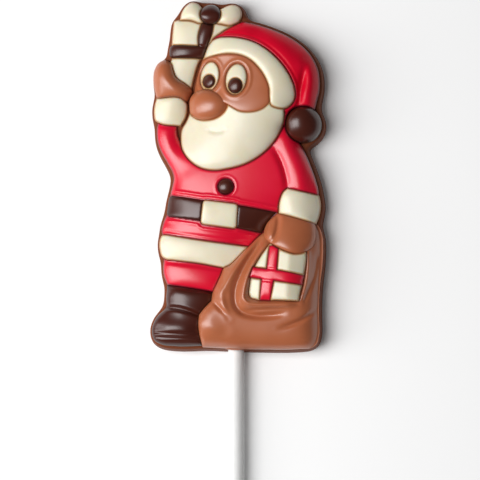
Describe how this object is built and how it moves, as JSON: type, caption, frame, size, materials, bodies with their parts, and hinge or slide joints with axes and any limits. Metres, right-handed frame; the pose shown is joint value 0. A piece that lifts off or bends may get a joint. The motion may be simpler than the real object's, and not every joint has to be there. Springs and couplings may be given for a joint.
{
  "type": "chocolate lollipop",
  "caption": "Flat-backed moulded chocolate relief of a winter gift bringer with a sack, on a round paper stick that serves as its handle.",
  "frame": {"origin": "centre of the footprint, on the flat back that the lollipop lies on", "axes": "+X to the right as the figure is looked at, +Y along the stick's axis from its free end to the hat, +Z out of the figure's front"},
  "size_m": [0.0442, 0.1826, 0.0143],
  "materials": {
    "milk_chocolate": "milk chocolate released from a polished mould, satin gloss",
    "white_chocolate": "white chocolate released from a polished mould, satin gloss",
    "dark_chocolate": "dark chocolate released from a polished mould, glossy",
    "red_chocolate": "red-coloured white chocolate released from a polished mould, satin gloss",
    "paper_stick": "tightly rolled white paper, matt"
  },
  "bodies": {
    "root": {"beard": "white_chocolate", "belt_1": "dark_chocolate", "belt_2": "dark_chocolate", "boot": "dark_chocolate", "brim": "white_chocolate", "buckle": "white_chocolate", "button": "dark_chocolate", "coat": "red_chocolate", "cuff_lowered": "white_chocolate", "cuff_raised": "white_chocolate", "eye_left": "white_chocolate", "eye_right": "white_chocolate", "hat": "red_chocolate", "hem": "white_chocolate", "knot": "dark_chocolate", "leg": "red_chocolate", "loop_left": "white_chocolate", "loop_right": "white_chocolate", "milk_body": "milk_chocolate", "pompom": "dark_chocolate", "pupil_left": "dark_chocolate", "pupil_right": "dark_chocolate", "ribbon_raised": "dark_chocolate", "ribbon_sack": "red_chocolate", "skirt": "red_chocolate", "stick": "paper_stick", "wrap_raised_1": "white_chocolate", "wrap_raised_2": "white_chocolate", "wrap_raised_3": "white_chocolate", "wrap_sack_1": "white_chocolate", "wrap_sack_2": "white_chocolate", "wrap_sack_3": "white_chocolate", "wrap_sack_4": "white_chocolate"}
  },
  "joints": []
}
